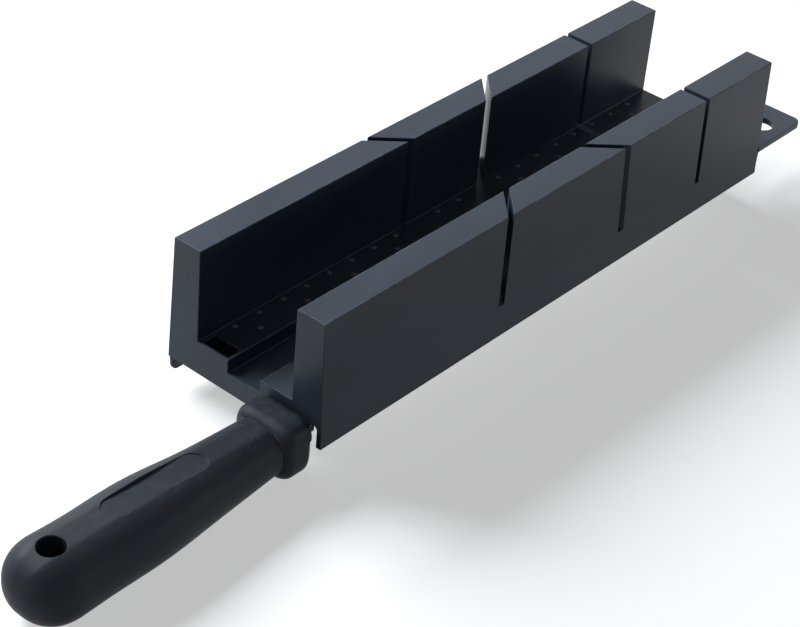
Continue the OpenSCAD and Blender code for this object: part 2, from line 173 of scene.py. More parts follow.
# Shader maths as plain expressions
class Wire:
    """An output socket; arithmetic on it adds Math nodes to its tree."""

    def __init__(self, paint, socket):
        self.paint = paint
        self.socket = socket

    def _math(self, operation, *values):
        return self.paint.node("ShaderNodeMath", {"operation": operation}, dict(enumerate(values)))

    def __add__(self, other):
        return self._math("ADD", self, other)

    def __sub__(self, other):
        return self._math("SUBTRACT", self, other)

    def __rsub__(self, other):
        return self._math("SUBTRACT", other, self)

    def __mul__(self, other):
        return self._math("MULTIPLY", self, other)

    __radd__ = __add__
    __rmul__ = __mul__

    def magnitude(self):
        return self._math("ABSOLUTE", self)

    def root(self):
        return self._math("SQRT", self)

    def largest(self, other):
        return self._math("MAXIMUM", self, other)

    def rise(self, low, high):
        """0 at low, 1 at high, smooth between them and level beyond them; high may be the lower one."""
        if high < low:
            return 1 - self.rise(high, low)
        return self.paint.node(
            "ShaderNodeMapRange", {"interpolation_type": "SMOOTHSTEP"},
            {"Value": self, "From Min": low, "From Max": high})


# Places of a Mix node's colour sockets, whose names repeat for every kind of data
MIX_FACTOR = 0
MIX_FIRST = 6
MIX_SECOND = 7
MIX_RESULT = 2


class Paint:
    """Builds one material's nodes."""

    def __init__(self, name, **shader):
        self.material = bpy.data.materials.new(name)
        self.material.use_nodes = True
        self.tree = self.material.node_tree
        self.shader = self.tree.nodes["Principled BSDF"]
        for socket, value in shader.items():
            self.shader.inputs[socket.replace("_", " ")].default_value = value

    def node(self, kind, settings=None, inputs=None, output=0):
        """Adds a node with its settings and inputs, and returns one of its outputs."""
        made = self.tree.nodes.new(kind)
        for name, value in (settings or {}).items():
            setattr(made, name, value)
        for name, value in (inputs or {}).items():
            if isinstance(value, Wire):
                self.tree.links.new(value.socket, made.inputs[name])
            else:
                made.inputs[name].default_value = value
        return Wire(self, made.outputs[output])

    def feed(self, socket, wire):
        self.tree.links.new(wire.socket, self.shader.inputs[socket])

    def place(self):
        return self.node("ShaderNodeTexCoord", output="Object")

    def parts(self, vector):
        """The x, y and z of a vector."""
        return [self.node("ShaderNodeSeparateXYZ", inputs={"Vector": vector}, output=axis) for axis in "XYZ"]

    def stretched(self, vector, scale, turn=(0, 0, 0)):
        """The vector scaled and turned; a texture on it is drawn out where the scale is small."""
        return self.node("ShaderNodeMapping", inputs={"Vector": vector, "Scale": scale, "Rotation": turn})

    def noise(self, vector, scale, detail=2.0, roughness=0.5):
        return self.node("ShaderNodeTexNoise", inputs={
            "Vector": vector, "Scale": scale, "Detail": detail, "Roughness": roughness})

    def cells(self, vector, scale, feature="F1", output="Distance"):
        return self.node("ShaderNodeTexVoronoi", {"feature": feature}, {
            "Vector": vector, "Scale": scale}, output)

    def mix(self, factor, first, second):
        return self.node("ShaderNodeMix", {"data_type": "RGBA"}, {
            MIX_FACTOR: factor, MIX_FIRST: first, MIX_SECOND: second}, MIX_RESULT)

    def bump(self, height, distance, strength, under=None):
        """A normal bent by the height, over the normal of another bump if one is given."""
        inputs = {"Height": height, "Distance": distance, "Strength": strength}
        if under is not None:
            inputs["Normal"] = under
        return self.node("ShaderNodeBump", inputs=inputs)


def rgba(rgb, factor=1.0):
    """A colour for a socket, made lighter or darker by the factor."""
    return (*(part * factor for part in rgb), 1.0)


# Distances from an edge at which its lighter colour starts and is full; the colour stands for worn plastic
# on the box's edges, and is a painted highlight on both the box's edges and the grip's end
EDGE_BAND = (1.0 * MM, 0.2 * MM)
END_BAND = (0.9 * MM, 0.2 * MM)
GRIP_END_HIGHLIGHT_BAND = (0.6 * MM, 0.15 * MM)
# Rolling marks on a metre of sheet, across them
BLADE_GRAIN = 900
SPINE_GRAIN = 500
# Levels of a noise between which the plastics' flow shows and a patch of marks fades in
FLOW_BAND = (0.3, 0.7)
PATCH_BAND = (0.42, 0.60)


def scuffs(paint, vector, scale, width, keep):
    """Hairline scratches: short stretches of cell edges, kept where a broad noise is high."""
    wander = paint.noise(vector, scale * 0.8, detail=1.0)
    lines = paint.cells(vector, scale, "DISTANCE_TO_EDGE")
    return lines.rise(width, 0.0) * wander.rise(keep, keep + 0.05)


def specks(paint, vector, scale, size):
    """Small round specks in a few of the cells."""
    near = paint.cells(vector, scale).rise(size, size * 0.4)
    chance = paint.node("ShaderNodeSeparateColor", inputs={
        "Color": paint.cells(vector, scale, output="Color")})
    return near * chance.rise(0.86, 0.9)


def box_edge_wear_and_highlight(paint, where):
    """1 along the box's long edges and round its two ends, 0 away from them."""
    x, y, z = paint.parts(where)
    side = x.magnitude()
    foot_x = WALL_TOP_X + WALL_FLARE

    def near(out, edge_x, edge_z):
        across = out - edge_x
        up = z - edge_z
        return (across * across + up * up).root().rise(*EDGE_BAND)

    edges = near(side, WALL_TOP_X, WALL_TOP_Z)
    for out, edge_x, edge_z in (
            (side, WALL_INNER_X, WALL_TOP_Z), (side, GROOVE_X, LEDGE_Z),
            (x, foot_x, 0.0), (0 - x, foot_x, box_low.z)):
        edges = edges.largest(near(out, edge_x, edge_z))
    facing_y = paint.parts(paint.node("ShaderNodeNewGeometry", output="Normal"))[1]
    end = (y.magnitude() - BOX_LENGTH / 2).magnitude().rise(*END_BAND)
    return edges.largest(end * (1 - facing_y.magnitude()))


def box_plastic(look):
    """Satin moulded plastic: fine grain, flow mottling, scuffs along the box, worn edges with a painted
    highlight on them, and dust.
    """
    paint = Paint("box_plastic", Specular_IOR_Level=0.18)
    where = paint.place()
    flow = paint.noise(paint.stretched(where, (1, 0.35, 1)), scale=34, detail=3.0).rise(*FLOW_BAND)
    fine = paint.noise(where, scale=2600)
    cloud = paint.noise(where, scale=160, detail=4.0, roughness=0.6)
    drawn = paint.noise(paint.stretched(where, (1, 0.05, 1)), scale=700)
    streaks = drawn.rise(0.66, 0.74) * paint.noise(where, scale=45).rise(0.5, 0.62)
    turned = paint.stretched(where, (1, 0.2, 1), turn=(0.3, 0.2, 0.5))
    lines = scuffs(paint, turned, scale=75, width=0.009, keep=0.64)
    dust = specks(paint, where, scale=420, size=0.16)
    # Lighter colour along the edges and round the ends: partly worn plastic, partly a painted highlight
    # where the broken edges catch light
    wear_and_highlight = box_edge_wear_and_highlight(paint, where) * cloud.rise(*PATCH_BAND) * look.wear_and_highlight

    marks = (streaks * look.streaks + lines * look.scratches + dust * look.dust).largest(wear_and_highlight)
    darker, lighter = rgba(look.plastic, 0.87), rgba(look.plastic, 1.13)
    paint.feed("Base Color", paint.mix(marks, paint.mix(flow, darker, lighter), rgba(look.rubbed_and_highlight)))
    # The flow adds 0.04 on average, which is taken off again
    paint.feed("Roughness", flow * 0.08 + marks * 0.15 + (look.roughness - 0.04))
    grain = paint.bump(fine + cloud * 0.8, distance=0.02 * MM, strength=0.5)
    paint.feed("Normal", paint.bump(dust, distance=0.03 * MM, strength=0.4, under=grain))
    return paint.material


def handle_plastic(look):
    """Black satin plastic with a fine grain, handling marks, dust and a painted highlight round the grip's
    end.
    """
    paint = Paint("handle_plastic", Specular_IOR_Level=0.16)
    where = paint.place()
    broad = paint.noise(paint.stretched(where, (1, 0.4, 1)), scale=60, detail=3.0)
    flow = broad.rise(*FLOW_BAND)
    fine = paint.noise(where, scale=2200)
    cloud = paint.noise(where, scale=240, detail=3.0, roughness=0.6)
    turned = paint.stretched(where, (1, 0.3, 1), turn=(0.2, 0.6, 0.4))
    lines = scuffs(paint, turned, scale=100, width=0.011, keep=0.62)
    dust = specks(paint, where, scale=480, size=0.17)
    drawn = paint.noise(paint.stretched(where, (1, 0.12, 1)), scale=330, detail=3.0, roughness=0.6)
    handled = drawn.rise(0.52, 0.70) * broad.rise(0.40, 0.60)
    patches = cloud.rise(0.42, 0.66) * broad.rise(0.35, 0.60)
    # A painted highlight: lighter colour in a narrow band round the grip's end edge, where its break catches
    # light, broken up by a noise
    from_end = (paint.parts(where)[1] - (GRIP_Y - GRIP_EDGE / 2)).magnitude()
    wear_and_highlight = from_end.rise(*GRIP_END_HIGHLIGHT_BAND) * cloud.rise(0.35, 0.60) * look.wear_and_highlight

    marks = lines * look.scratches + dust * look.dust + handled * look.handling + patches * look.patches
    marks = marks.largest(wear_and_highlight)
    darker, lighter = rgba(look.plastic, 0.82), rgba(look.plastic, 1.22)
    paint.feed("Base Color", paint.mix(marks, paint.mix(flow, darker, lighter), rgba(look.rubbed_and_highlight)))
    # The flow and the cloud add 0.15 on average, and most of it is taken off again
    paint.feed("Roughness", flow * 0.10 + cloud * 0.20 + marks * 0.12 + (look.roughness - 0.14))
    uneven = paint.noise(paint.stretched(where, (1, 0.5, 1)), scale=110)
    waves = paint.bump(uneven, distance=0.25 * MM, strength=0.5)
    paint.feed("Normal", paint.bump(fine + cloud, distance=0.02 * MM, strength=0.5, under=waves))
    return paint.material


def ground_steel(name, look, scale, rough):
    """Sheet steel with rolling marks along its length, faint stains and a few scratches."""
    paint = Paint(name, Specular_IOR_Level=0.5)
    where = paint.place()
    brushed = paint.noise(paint.stretched(where, (1, 0.02, 1)), scale, detail=3.0, roughness=0.6)
    stain = paint.noise(where, scale=38, detail=4.0, roughness=0.6)
    turned = paint.stretched(where, (1, 0.25, 1), turn=(0, 0, 0.25))
    lines = scuffs(paint, turned, scale=80, width=0.012, keep=0.56)
    clean, stained, scratched = rgba(look.steel), rgba(look.steel, 0.72), rgba(look.steel, 1.25)
    tone = paint.mix(stain.rise(0.45, 0.75), clean, stained)
    paint.feed("Base Color", paint.mix(lines * 0.5, tone, scratched))
    paint.feed("Metallic", 1 - stain.rise(0.6, 0.8) * 0.25)
    paint.feed("Roughness", brushed * 0.14 + stain.rise(0.4, 0.7) * 0.12 + rough)
    paint.feed("Normal", paint.bump(brushed + lines * 0.5, distance=0.012 * MM, strength=0.5))
    return paint.material


# Mesh helpers
def link(name, data):
    """A new object in the scene with the given mesh, lamp or camera data."""
    made = bpy.data.objects.new(name, data)
    bpy.context.scene.collection.objects.link(made)
    return made


def drop(obj):
    bpy.data.objects.remove(obj)


def shade(mesh, is_smooth):
    mesh.polygons.foreach_set("use_smooth", [is_smooth] * len(mesh.polygons))
    mesh.update()


@contextmanager
def edited(mesh):
    """An editable form of the mesh, which is written back at the end of the block."""
    form = bmesh.new()
    form.from_mesh(mesh)
    yield form
    form.to_mesh(mesh)
    form.free()


def face_outwards(mesh):
    """Turns the faces of every closed shell outwards."""
    with edited(mesh) as form:
        bmesh.ops.recalc_face_normals(form, faces=form.faces)


def baked(obj, name):
    """A plain mesh object of obj with its modifiers applied; obj is removed."""
    bpy.context.view_layer.update()
    graph = bpy.context.evaluated_depsgraph_get()
    mesh = bpy.data.meshes.new_from_object(obj.evaluated_get(graph))
    drop(obj)
    mesh.name = name
    return link(name, mesh)


def loft(name, rings):
    """A closed skin over rings of the same number of points."""
    count = len(rings[0])
    points = [tuple(point) for ring in rings for point in ring]
    faces = []
    for row in range(len(rings) - 1):
        here, there = row * count, (row + 1) * count
        for i in range(count):
            j = (i + 1) % count
            faces.append((here + i, there + i, there + j, here + j))
    faces.append(tuple(range(count)))
    faces.append(tuple(reversed(range((len(rings) - 1) * count, len(rings) * count))))
    mesh = bpy.data.meshes.new(name)
    mesh.from_pydata(points, [], faces)
    face_outwards(mesh)
    return link(name, mesh)


def prism(name, outline, low, high):
    """An outline in x and y, raised from low to high."""
    rings = [[(x, y, z) for x, y in outline] for z in (low, high)]
    return loft(name, rings)


def block(name, low, high):
    """A block between its lowest and its highest corner."""
    outline = [(low[0], low[1]), (high[0], low[1]), (high[0], high[1]), (low[0], high[1])]
    return prism(name, outline, low[2], high[2])


def boolean(obj, other, operation):
    """Adds other to obj or takes it away; other is removed."""
    cut = obj.modifiers.new(operation.title(), "BOOLEAN")
    cut.operation = operation
    cut.solver = "EXACT"
    cut.object = other
    made = baked(obj, obj.name)
    drop(other)
    return made


def break_edges(obj, width, angle):
    """A narrow bevel on the edges sharper than the angle, with big faces kept flat."""
    bevel = obj.modifiers.new("Edge break", "BEVEL")
    bevel.width = width
    bevel.segments = 2
    bevel.limit_method = "ANGLE"
    bevel.angle_limit = angle
    bevel.use_clamp_overlap = False
    bevel.harden_normals = False
    shade(obj.data, True)
    weighted = obj.modifiers.new("Flat faces", "WEIGHTED_NORMAL")
    weighted.keep_sharp = True
    return baked(obj, obj.name)


def inside(obj, low, high):
    """Draws back the points that a bevel pushed past the solid's own reach."""
    count = len(obj.data.vertices)
    points = np.empty(count * 3)
    obj.data.vertices.foreach_get("co", points)
    points = np.clip(points.reshape(count, 3), low, high)
    obj.data.vertices.foreach_set("co", points.ravel())
    obj.data.update()
    return obj


def weld(obj, distance, thin=0.0):
    """Merges points closer together than the distance, and takes out faces thinner than thin."""
    with edited(obj.data) as form:
        bmesh.ops.remove_doubles(form, verts=form.verts, dist=distance)
        if thin:
            bmesh.ops.dissolve_degenerate(form, edges=form.edges, dist=thin)
    return obj


def dress(obj, material):
    obj.data.materials.clear()
    obj.data.materials.append(material)
    return obj


def seat(obj, body, slot, *nodes):
    """Puts a finished piece on its body."""
    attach(obj, body)
    if nodes:
        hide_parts(*nodes)
    return obj


# The box
SAME_POINT = 0.001 * MM
FLAT_ANGLE = math.radians(0.6)
BOX_EDGE_ANGLE = math.radians(38)
# Only points of the pips lie higher than this over the ledges, and lower than their room
PIP_FOOT = 0.01 * MM
PIP_ROOM = 1 * MM


def box_moulding(look):
    """The box's own moulding with broken edges; its pips are taken off for the pip rows."""
    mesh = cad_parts["mitre_box"].data.copy()
    low_z, high_z = LEDGE_Z + PIP_FOOT, LEDGE_Z + PIP_ROOM
    low_x, high_x = GROOVE_X, WALL_INNER_X - PIP_ROOM
    with edited(mesh) as form:
        bmesh.ops.remove_doubles(form, verts=form.verts, dist=SAME_POINT)
        pips = [v for v in form.verts if low_z < v.co.z < high_z and low_x < abs(v.co.x) < high_x]
        bmesh.ops.delete(form, geom=pips, context="VERTS")
        rims = [edge for edge in form.edges if edge.is_boundary]
        bmesh.ops.holes_fill(form, edges=rims, sides=0)
        bmesh.ops.dissolve_limit(form, angle_limit=FLAT_ANGLE, verts=form.verts, edges=form.edges)
    obj = link("box_moulding", mesh)
    return inside(break_edges(obj, look.edge, BOX_EDGE_ANGLE), box_low, box_high)


# Geometry Nodes
class Recipe:
    """Builds one geometry tree with named inputs."""

    def __init__(self, name, inputs):
        self.tree = bpy.data.node_groups.new(name, "GeometryNodeTree")
        for label, kind in inputs.items():
            self.tree.interface.new_socket(label, in_out="INPUT", socket_type=kind)
        self.tree.interface.new_socket("Geometry", in_out="OUTPUT", socket_type="NodeSocketGeometry")
        self.inputs = self.tree.nodes.new("NodeGroupInput")
        self.result = self.tree.nodes.new("NodeGroupOutput")

    def value(self, label):
        return self.inputs.outputs[label]

    def node(self, kind, settings=None, inputs=None, output=0):
        """Adds a node with its settings and inputs, and returns one of its outputs."""
        made = self.tree.nodes.new(kind)
        for name, value in (settings or {}).items():
            setattr(made, name, value)
        for name, value in (inputs or {}).items():
            for one in value if isinstance(value, list) else [value]:
                if isinstance(one, bpy.types.NodeSocket):
                    self.tree.links.new(one, made.inputs[name])
                else:
                    made.inputs[name].default_value = one
        return made.outputs[output]

    def maths(self, operation, *values):
        return self.node("ShaderNodeMath", {"operation": operation}, dict(enumerate(values)))

    def vector(self, x=0.0, y=0.0, z=0.0):
        return self.node("ShaderNodeCombineXYZ", inputs={"X": x, "Y": y, "Z": z})

    def form(self, label):
        """The geometry of the object that is given under the label."""
        return self.node("GeometryNodeObjectInfo", inputs={"Object": self.value(label)}, output="Geometry")

    def finish(self, geometry):
        """Makes the instances real and smooth, in the material that is given."""
        real = self.node("GeometryNodeRealizeInstances", inputs={"Geometry": geometry})
        shaded = self.node("GeometryNodeSetShadeSmooth", inputs={"Geometry": real})
        painted = self.node("GeometryNodeSetMaterial", inputs={
            "Geometry": shaded, "Material": self.value("Material")})
        self.tree.links.new(painted, self.result.inputs["Geometry"])

    def made(self, name, values):
        """Runs the recipe once and returns its result as a plain mesh object."""
        host = link(name + "_host", bpy.data.meshes.new(name))
        modifier = host.modifiers.new("Recipe", "NODES")
        modifier.node_group = self.tree
        for item in self.tree.interface.items_tree:
            if item.in_out == "INPUT" and item.name in values:
                modifier[item.identifier] = values[item.name]
        return baked(host, name)


FLOAT = "NodeSocketFloat"
COUNT = "NodeSocketInt"
OBJECT = "NodeSocketObject"
MATERIAL = "NodeSocketMaterial"
PIP_SEGMENTS = 28
PIP_RINGS = 14


def pip_places(recipe):
    """The points of both ledges: an outer row, and an inner row with twice its pitch."""
    pitch = recipe.value("Pitch")
    start = recipe.value("Start")

    def row(label, first, step):
        return recipe.node("GeometryNodeMeshLine", inputs={
            "Count": recipe.value(label + " count"),
            "Start Location": recipe.vector(recipe.value(label + " X"), first, recipe.value("Ledge Z")),
            "Offset": recipe.vector(y=step)})

    outer = row("Outer", start, pitch)
    inner_start = recipe.maths("ADD", start, recipe.maths("MULTIPLY", pitch, 0.5))
    inner = row("Inner", inner_start, recipe.maths("MULTIPLY", pitch, 2.0))
    right = recipe.node("GeometryNodeJoinGeometry", inputs={0: [outer, inner]})
    left = recipe.node("GeometryNodeTransform", inputs={"Geometry": right, "Scale": (-1, 1, 1)})
    return recipe.node("GeometryNodeJoinGeometry", inputs={0: [right, left]})


def crossed_by_cut(recipe):
    """True for a point that lies closer to the middle of a cut than the clear distance."""
    place = recipe.node("GeometryNodeInputPosition")
    x = recipe.node("ShaderNodeSeparateXYZ", inputs={0: place}, output="X")
    y = recipe.node("ShaderNodeSeparateXYZ", inputs={0: place}, output="Y")
    angle = recipe.value("Mitre angle")
    across = recipe.maths("MULTIPLY", recipe.maths("ABSOLUTE", x), recipe.maths("SINE", angle))
    down = recipe.maths("MULTIPLY", recipe.maths("ABSOLUTE", y), recipe.maths("COSINE", angle))
    to_mitre = recipe.maths("ABSOLUTE", recipe.maths("SUBTRACT", across, down))
    to_square = recipe.maths("ABSOLUTE", recipe.maths("SUBTRACT", y, recipe.value("Square cut")))
    nearest = recipe.maths("MINIMUM", to_mitre, to_square)
    return recipe.maths("LESS_THAN", nearest, recipe.value("Clear"))


def pip_rows(look, material):
    """Low domes in an outer and an inner row on both ledges, left out where a cut crosses."""
    recipe = Recipe("Pip rows", {
        "Pitch": FLOAT, "Start": FLOAT, "Outer X": FLOAT, "Inner X": FLOAT, "Ledge Z": FLOAT,
        "Outer count": COUNT, "Inner count": COUNT, "Radius": FLOAT, "Height": FLOAT,
        "Mitre angle": FLOAT, "Square cut": FLOAT, "Clear": FLOAT, "Material": MATERIAL})
    kept = recipe.node("GeometryNodeDeleteGeometry", inputs={
        "Geometry": pip_places(recipe), "Selection": crossed_by_cut(recipe)})
    ball = recipe.node("GeometryNodeMeshUVSphere", inputs={
        "Segments": PIP_SEGMENTS, "Rings": PIP_RINGS, "Radius": 1.0})
    radius = recipe.value("Radius")
    size = recipe.vector(radius, radius, recipe.value("Height"))
    recipe.finish(recipe.node("GeometryNodeInstanceOnPoints", inputs={
        "Points": kept, "Instance": ball, "Scale": size}))

    outer_x = WALL_INNER_X - look.wall_gap
    outer_count = int((BOX_LENGTH - look.start * 2 + look.diameter) / look.pitch) + 1
    return recipe.made("ledge_pips", {
        "Pitch": look.pitch, "Start": look.start - BOX_LENGTH / 2, "Outer X": outer_x,
        "Inner X": outer_x - look.row_gap, "Ledge Z": LEDGE_Z, "Outer count": outer_count,
        "Inner count": outer_count // 2, "Radius": look.diameter / 2, "Height": look.height,
        "Mitre angle": MITRE_ANGLE, "Square cut": SQUARE_CUT_Y,
        "Clear": (CUT_WIDTH + look.diameter) / 2, "Material": material})


# The saw's handle: its place, the collar, the grip, the panel, the hole and the spine's seat
HANDLE_X = (handle_low.x + handle_high.x) / 2
HANDLE_Z = 1.1 * MM
COLLAR_Y = handle_high.y
BUTT_Y = handle_low.y
COLLAR_L = 16.5 * MM
COLLAR_W = 30.5 * MM
COLLAR_H = 25.5 * MM
COLLAR_STEP = 0.7 * MM
COLLAR_FAR_ROUND = 5 * MM
COLLAR_NEAR_ROUND = 5.5 * MM
COLLAR_SQUARENESS = 4.2
SPLIT_OVER_BLADE = 2.1 * MM
SPLIT_Z = (blade_low.z + blade_high.z) / 2 + SPLIT_OVER_BLADE
GRIP_IN_COLLAR = 0.7 * MM
GRIP_Y = COLLAR_Y - COLLAR_L + GRIP_IN_COLLAR
GRIP_L = GRIP_Y - BUTT_Y
GRIP_W = 34 * MM
GRIP_H = 31 * MM
GRIP_SQUARENESS = 2.3
GRIP_EDGE = 0.4 * MM
GRIP_EDGE_SHARE = 0.95
CROWN_SHARE = 0.97
NECK_L = 1.4 * MM
NECK_W_SHARE = 0.63
NECK_H_SHARE = 0.58
BUTT_L = 19.4 * MM
BUTT_SQUARENESS = 2.2
# A quarter turn would shrink the butt's last ring to a point
BUTT_TURN = math.radians(88.5)
PANEL_W = 11.7 * MM
PANEL_L = 49.8 * MM
PANEL_FROM_GRIP_END = 30.5 * MM
PANEL_Y = GRIP_Y - PANEL_FROM_GRIP_END
PANEL_DEPTH = 0.35 * MM
HANG_HOLE_D = 11 * MM
HANG_HOLE_FROM_BUTT = 17.2 * MM
HANG_HOLE_Y = BUTT_Y + HANG_HOLE_FROM_BUTT
HOLE_ROUND = 0.8 * MM
SPINE_IN_HANDLE = 8 * MM
SPINE_GAP = 0.05 * MM
CUTTER_OVERRUN = 2 * MM
# Width, height and sag of the grip at even steps from the collar to the butt
W_SHARES = (0.748, 0.842, 0.985, 0.999, 1.056)
H_SHARES = (0.723, 0.865, 0.998, 0.983, 1.047)
SAG_SHARES = (-0.004, 0.019, 0.014, 0.028, 0.026)
# Fineness of the meshes
RING_POINTS = 112
EDGE_RINGS = 4
BODY_RINGS = 72
BUTT_RINGS = 26
COLLAR_RINGS = 10
PANEL_ARC_STEPS = 24
HOLE_RINGS = 6
HOLE_SIDES = 72
# Size of the slivers that the booleans leave and a bevel would fold
SLIVER_LENGTH = 0.03 * MM
SLIVER_WIDTH = 0.015 * MM
HANDLE_EDGE_ANGLE = math.radians(42)


def spline(values, at):
    """Smooth curve through evenly spaced values, at a share of its length."""
    last = len(values) - 1
    i = max(0, min(last - 1, math.floor(at * last)))
    u = at * last - i
    p1, p2 = values[i], values[i + 1]
    p0 = values[i - 1] if i > 0 else 2 * p1 - p2
    p3 = values[i + 2] if i + 2 <= last else 2 * p2 - p1
    return p1 + u * (p2 - p0 + u * (2 * p0 - 5 * p1 + 4 * p2 - p3 + u * (3 * p1 - p0 - 3 * p2 + p3))) / 2


def quarter_turn(steps):
    """Angles at even steps from 0 to 90 degrees."""
    return [math.pi / 2 * i / steps for i in range(steps + 1)]


def arc(x, y, radius, start, turn, steps):
    """Points at even steps along an arc in x and y, with both of its ends."""
    angles = [start + turn * i / steps for i in range(steps + 1)]
    return [(x + radius * math.cos(angle), y + radius * math.sin(angle)) for angle in angles]


def superellipse(value, squareness):
    """A sine or cosine pushed out from 0, as on a superellipse of that squareness."""
    return math.copysign(abs(value) ** (2 / squareness), value)


def grip_mid(at):
    return HANDLE_Z - GRIP_H * spline(SAG_SHARES, at)


def grip_half_h(at):
    return GRIP_H / 2 * spline(H_SHARES, at)


def grip_top(y):
    at = (GRIP_Y - y) / GRIP_L
    return grip_mid(at) + CROWN_SHARE * grip_half_h(at)


def grip_low(y):
    at = (GRIP_Y - y) / GRIP_L
    return grip_mid(at) - grip_half_h(at)


def rounded_ring(y, half_w, half_h, z, crown=1.0):
    """A superellipse round the grip's axis, cut flat above its crown's share of the half height."""
    ring = []
    for i in range(RING_POINTS):
        angle = 2 * math.pi * i / RING_POINTS
        across = half_w * superellipse(math.cos(angle), GRIP_SQUARENESS)
        up = half_h * superellipse(math.sin(angle), GRIP_SQUARENESS)
        ring.append((HANDLE_X + across, y, z + min(up, crown * half_h)))
    return ring


def grip_ring(at, size=1.0):
    """The grip's section at a share of its length, drawn in to a share of its size."""
    half_w = size * GRIP_W / 2 * spline(W_SHARES, at)
    return rounded_ring(GRIP_Y - GRIP_L * at, half_w, size * grip_half_h(at), grip_mid(at), CROWN_SHARE)


def grip_form():
    """The grip, from its neck inside the collar to its round butt."""
    butt = 1 - BUTT_L / GRIP_L
    edge = GRIP_EDGE / GRIP_L
    rings = [rounded_ring(y, NECK_W_SHARE * GRIP_W / 2, NECK_H_SHARE * GRIP_H / 2, grip_mid(0))
             for y in (COLLAR_Y - COLLAR_L / 2, GRIP_Y + NECK_L)]
    for angle in quarter_turn(EDGE_RINGS)[:-1]:
        size = GRIP_EDGE_SHARE + (1 - GRIP_EDGE_SHARE) * math.sin(angle)
        rings.append(grip_ring(edge * (1 - math.cos(angle)), size))
    for i in range(BODY_RINGS + 1):
        rings.append(grip_ring(edge + (butt - edge) * i / BODY_RINGS))
    for i in range(1, BUTT_RINGS + 1):
        angle = BUTT_TURN * i / BUTT_RINGS
        at = butt + (1 - butt) * superellipse(math.sin(angle), BUTT_SQUARENESS)
        rings.append(grip_ring(at, superellipse(math.cos(angle), BUTT_SQUARENESS)))
    return loft("grip", rings)


def collar_ring(y, inset):
    """A rounded block's section whose upper half is a step wider than its lower half."""
    ring = []
    half_h = COLLAR_H / 2 - inset
    turn = math.asin(((SPLIT_Z - HANDLE_Z) / half_h) ** (COLLAR_SQUARENESS / 2))
    upper = np.linspace(turn, math.pi - turn, RING_POINTS // 2)
    lower = np.linspace(math.pi - turn, 2 * math.pi + turn, RING_POINTS // 2)
    for angles, half_w in ((upper, COLLAR_W / 2), (lower, COLLAR_W / 2 - COLLAR_STEP)):
        for angle in angles:
            across = (half_w - inset) * superellipse(math.cos(angle), COLLAR_SQUARENESS)
            up = half_h * superellipse(math.sin(angle), COLLAR_SQUARENESS)
            ring.append((HANDLE_X + across, y, HANDLE_Z + up))
    return ring


def collar_end(end_y, inward, radius):
    """The rings that round one end of the collar, from its flat face inward."""
    return [collar_ring(end_y + inward * radius * (1 - math.cos(angle)), radius * (1 - math.sin(angle)))
            for angle in quarter_turn(COLLAR_RINGS)]


def collar_form():
    """The two-step collar between the grip and the box."""
    far_end = collar_end(COLLAR_Y, -1, COLLAR_FAR_ROUND)
    near_end = collar_end(COLLAR_Y - COLLAR_L, 1, COLLAR_NEAR_ROUND)
    return loft("collar", far_end + near_end[::-1])


def panel_cutter():
    """A long block with round ends over the sloping floor of the grip's sunk panel."""
    far_y, near_y = PANEL_Y, PANEL_Y - PANEL_L
    far_z, near_z = grip_top(far_y) - PANEL_DEPTH, grip_top(near_y) - PANEL_DEPTH
    slope = (near_z - far_z) / (near_y - far_y)
    radius = PANEL_W / 2
    outline = arc(HANDLE_X, far_y - radius, radius, 0, math.pi, PANEL_ARC_STEPS)
    outline += arc(HANDLE_X, near_y + radius, radius, math.pi, math.pi, PANEL_ARC_STEPS)
    rings = [[(x, y, far_z + slope * (y - far_y) + lift) for x, y in outline] for lift in (0, GRIP_H)]
    return loft("panel", rings)


def hole_cutter():
    """A drill with flared ends, which rounds the rims of the hanging hole."""
    radius, flare = HANG_HOLE_D / 2, HOLE_ROUND
    mid = (grip_top(HANG_HOLE_Y) + grip_low(HANG_HOLE_Y)) / 2
    half = grip_top(HANG_HOLE_Y) - mid
    profile = [(radius + flare, half + CUTTER_OVERRUN)]
    for angle in quarter_turn(HOLE_RINGS):
        profile.append((radius + flare - flare * math.sin(angle), half - flare + flare * math.cos(angle)))
    profile += [(reach, -z) for reach, z in reversed(profile)]
    rings = []
    for reach, z in profile:
        circle = arc(HANDLE_X, HANG_HOLE_Y, reach, 0, 2 * math.pi, HOLE_SIDES)[:-1]
        rings.append([(x, y, mid + z) for x, y in circle])
    return loft("drill", rings)


def seat_cutter():
    """The room for the spine's end in the collar."""
    return block(
        "seat",
        (spine_low.x - SPINE_GAP, COLLAR_Y - SPINE_IN_HANDLE, spine_low.z - SPINE_GAP),
        (spine_high.x + SPINE_GAP, COLLAR_Y + CUTTER_OVERRUN, spine_high.z + SPINE_GAP))


def handle_moulding(look):
    """The grip and the collar in one, with the panel, the hole and the spine's seat cut out."""
    handle = boolean(grip_form(), collar_form(), "UNION")
    for cutter in (panel_cutter, hole_cutter, seat_cutter):
        handle = boolean(handle, cutter(), "DIFFERENCE")
    handle.name = "handle_moulding"
    handle = break_edges(weld(handle, SLIVER_LENGTH, SLIVER_WIDTH), look.edge, HANDLE_EDGE_ANGLE)
    return weld(inside(handle, handle_low, handle_high), SAME_POINT)


# The saw's steel
TANG_W = 9.5 * MM
HEEL_IN_BOX = 1.5 * MM
HEEL_Y = -BOX_LENGTH / 2 + HEEL_IN_BOX
TIP_CROP = 3 * MM
TEETH_FROM_HEEL = 8 * MM
TEETH_FROM_TIP = 6 * MM
TOOTH_ROOT = 0.25 * MM
# Shares of the pitch: where the point stands, and how much of a flank is ground
POINT_SHARE = 0.7
GRIND_SHARE = 0.28
# How far grinding draws in the upper side, as shares of the ground flank, and the height it leaves
GRIND_AT_FOOT = 0.4
GRIND_AT_POINT = 0.2
GROUND_HEIGHT = 0.82


